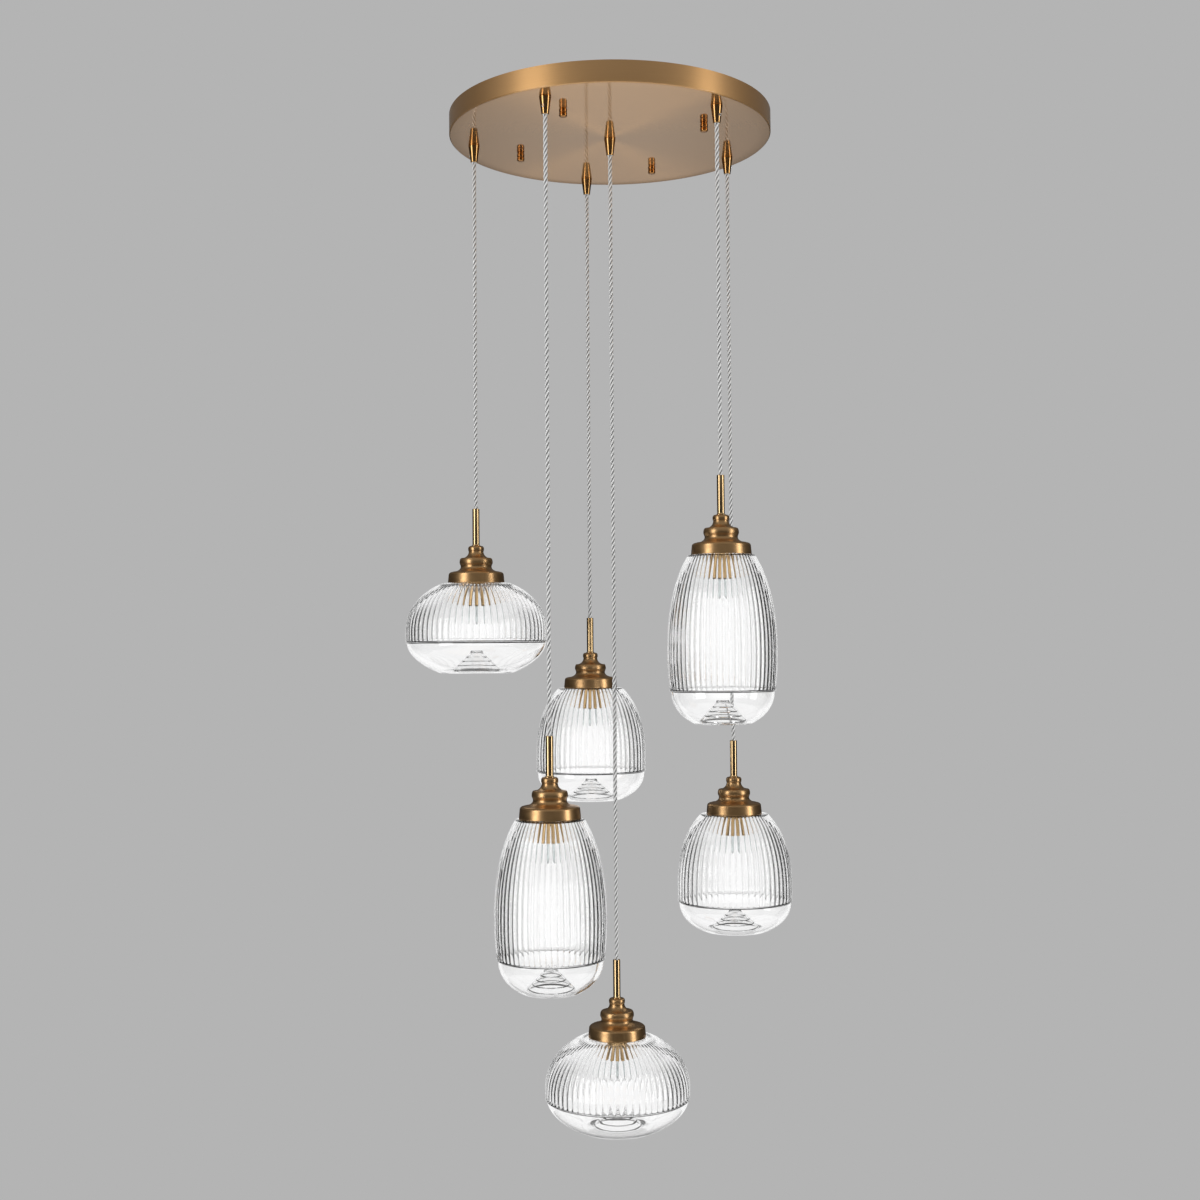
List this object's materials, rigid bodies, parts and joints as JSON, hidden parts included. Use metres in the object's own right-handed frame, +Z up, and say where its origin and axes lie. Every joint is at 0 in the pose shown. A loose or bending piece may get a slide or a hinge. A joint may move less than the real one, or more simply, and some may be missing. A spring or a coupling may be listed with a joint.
{
  "type": "pendant light",
  "caption": "Cluster pendant with a round brass ceiling canopy, twisted clear cords, turned brass caps and ribbed clear glass shades hung at staggered heights.",
  "frame": {"origin": "On the ceiling plane, on the canopy's axis, at the centre of the bracket's bolt circle.", "axes": "+Z points up into the ceiling. -Y is the side that the picture looks at, and +X is to its right."},
  "size_m": [0.5466, 0.522, 1.407],
  "materials": {
    "canopy_brass": "satin brushed brass, lacquered",
    "spun_brass": "spun brass, satin brushed and lacquered",
    "turned_brass": "turned brass, polished and lacquered",
    "zinc_steel": "zinc-plated steel",
    "steel_screw": "stainless steel, turned",
    "block_plastic": "moulded polyamide, natural",
    "lead_plastic": "clear insulation over tinned copper",
    "earth_plastic": "green and yellow insulation",
    "bush_nylon": "natural nylon",
    "cord_clear": "clear insulation over tinned copper strands, twisted",
    "ribbed_glass": "clear glass with moulded ribs",
    "bulb_glass": "clear capsule bulb"
  },
  "bodies": {
    "canopy_set": {"canopy": "canopy_brass", "ceiling_bracket": "zinc_steel", "bracket_studs": "zinc_steel", "stud_nuts": "zinc_steel", "thumb_nuts": "turned_brass", "cord_grips": "turned_brass", "grip_screws": "steel_screw", "grip_locknuts": "zinc_steel", "terminal_block": "block_plastic", "inner_leads": "lead_plastic", "earth_lead": "earth_plastic"},
    "turner_1": {"grip_bush_1": "bush_nylon"},
    "hanger_1": {"cord_1": "cord_clear"},
    "lamp_1": {"stem_1": "turned_brass", "cap_1": "spun_brass", "lampholder_1": "turned_brass", "shade_ring_1": "turned_brass", "shade_1": "ribbed_glass", "bulb_1": "bulb_glass"},
    "turner_2": {"grip_bush_2": "bush_nylon"},
    "hanger_2": {"cord_2": "cord_clear"},
    "lamp_2": {"stem_2": "turned_brass", "cap_2": "spun_brass", "lampholder_2": "turned_brass", "shade_ring_2": "turned_brass", "shade_2": "ribbed_glass", "bulb_2": "bulb_glass"},
    "turner_3": {"grip_bush_3": "bush_nylon"},
    "hanger_3": {"cord_3": "cord_clear"},
    "lamp_3": {"stem_3": "turned_brass", "cap_3": "spun_brass", "lampholder_3": "turned_brass", "shade_ring_3": "turned_brass", "shade_3": "ribbed_glass", "bulb_3": "bulb_glass"},
    "turner_4": {"grip_bush_4": "bush_nylon"},
    "hanger_4": {"cord_4": "cord_clear"},
    "lamp_4": {"stem_4": "turned_brass", "cap_4": "spun_brass", "lampholder_4": "turned_brass", "shade_ring_4": "turned_brass", "shade_4": "ribbed_glass", "bulb_4": "bulb_glass"},
    "turner_5": {"grip_bush_5": "bush_nylon"},
    "hanger_5": {"cord_5": "cord_clear"},
    "lamp_5": {"stem_5": "turned_brass", "cap_5": "spun_brass", "lampholder_5": "turned_brass", "shade_ring_5": "turned_brass", "shade_5": "ribbed_glass", "bulb_5": "bulb_glass"},
    "turner_6": {"grip_bush_6": "bush_nylon"},
    "hanger_6": {"cord_6": "cord_clear"},
    "lamp_6": {"stem_6": "turned_brass", "cap_6": "spun_brass", "lampholder_6": "turned_brass", "shade_ring_6": "turned_brass", "shade_6": "ribbed_glass", "bulb_6": "bulb_glass"}
  },
  "joints": [
    {"name": "turn_1", "type": "hinge", "parent": "canopy_set", "child": "turner_1", "pos_m": [0, 0, -0.0535], "axis": [0, 0, 1], "range_deg": [-180, 180]},
    {"name": "swing_1", "type": "hinge", "parent": "turner_1", "child": "hanger_1", "pos_m": [0, 0, -0.0535], "axis": [0, 1, 0], "range_deg": [-5, 5]},
    {"name": "height_1", "type": "slide", "parent": "hanger_1", "child": "lamp_1", "axis": [0, 0, 1], "range_m": [0, 0.3], "deforming": ["cord_1"]},
    {"name": "turn_2", "type": "hinge", "parent": "canopy_set", "child": "turner_2", "pos_m": [0.17121, 0.09334, -0.0535], "axis": [0, 0, 1], "range_deg": [-180, 180]},
    {"name": "swing_2", "type": "hinge", "parent": "turner_2", "child": "hanger_2", "pos_m": [0.17121, 0.09334, -0.0535], "axis": [0, 1, 0], "range_deg": [-5, 5]},
    {"name": "height_2", "type": "slide", "parent": "hanger_2", "child": "lamp_2", "axis": [0, 0, 1], "range_m": [0, 0.3], "deforming": ["cord_2"]},
    {"name": "turn_3", "type": "hinge", "parent": "canopy_set", "child": "turner_3", "pos_m": [-0.03587, 0.19167, -0.0535], "axis": [0, 0, 1], "range_deg": [-180, 180]},
    {"name": "swing_3", "type": "hinge", "parent": "turner_3", "child": "hanger_3", "pos_m": [-0.03587, 0.19167, -0.0535], "axis": [0, 1, 0], "range_deg": [-5, 5]},
    {"name": "height_3", "type": "slide", "parent": "hanger_3", "child": "lamp_3", "axis": [0, 0, 1], "range_m": [0, 0.3], "deforming": ["cord_3"]},
    {"name": "turn_4", "type": "hinge", "parent": "canopy_set", "child": "turner_4", "pos_m": [-0.19338, 0.02511, -0.0535], "axis": [0, 0, 1], "range_deg": [-180, 180]},
    {"name": "swing_4", "type": "hinge", "parent": "turner_4", "child": "hanger_4", "pos_m": [-0.19338, 0.02511, -0.0535], "axis": [0, 1, 0], "range_deg": [-5, 5]},
    {"name": "height_4", "type": "slide", "parent": "hanger_4", "child": "lamp_4", "axis": [0, 0, 1], "range_m": [0, 0.3], "deforming": ["cord_4"]},
    {"name": "turn_5", "type": "hinge", "parent": "canopy_set", "child": "turner_5", "pos_m": [-0.08364, -0.17615, -0.0535], "axis": [0, 0, 1], "range_deg": [-180, 180]},
    {"name": "swing_5", "type": "hinge", "parent": "turner_5", "child": "hanger_5", "pos_m": [-0.08364, -0.17615, -0.0535], "axis": [0, 1, 0], "range_deg": [-5, 5]},
    {"name": "height_5", "type": "slide", "parent": "hanger_5", "child": "lamp_5", "axis": [0, 0, 1], "range_m": [0, 0.3], "deforming": ["cord_5"]},
    {"name": "turn_6", "type": "hinge", "parent": "canopy_set", "child": "turner_6", "pos_m": [0.14168, -0.13398, -0.0535], "axis": [0, 0, 1], "range_deg": [-180, 180]},
    {"name": "swing_6", "type": "hinge", "parent": "turner_6", "child": "hanger_6", "pos_m": [0.14168, -0.13398, -0.0535], "axis": [0, 1, 0], "range_deg": [-5, 5]},
    {"name": "height_6", "type": "slide", "parent": "hanger_6", "child": "lamp_6", "axis": [0, 0, 1], "range_m": [0, 0.3], "deforming": ["cord_6"]}
  ]
}
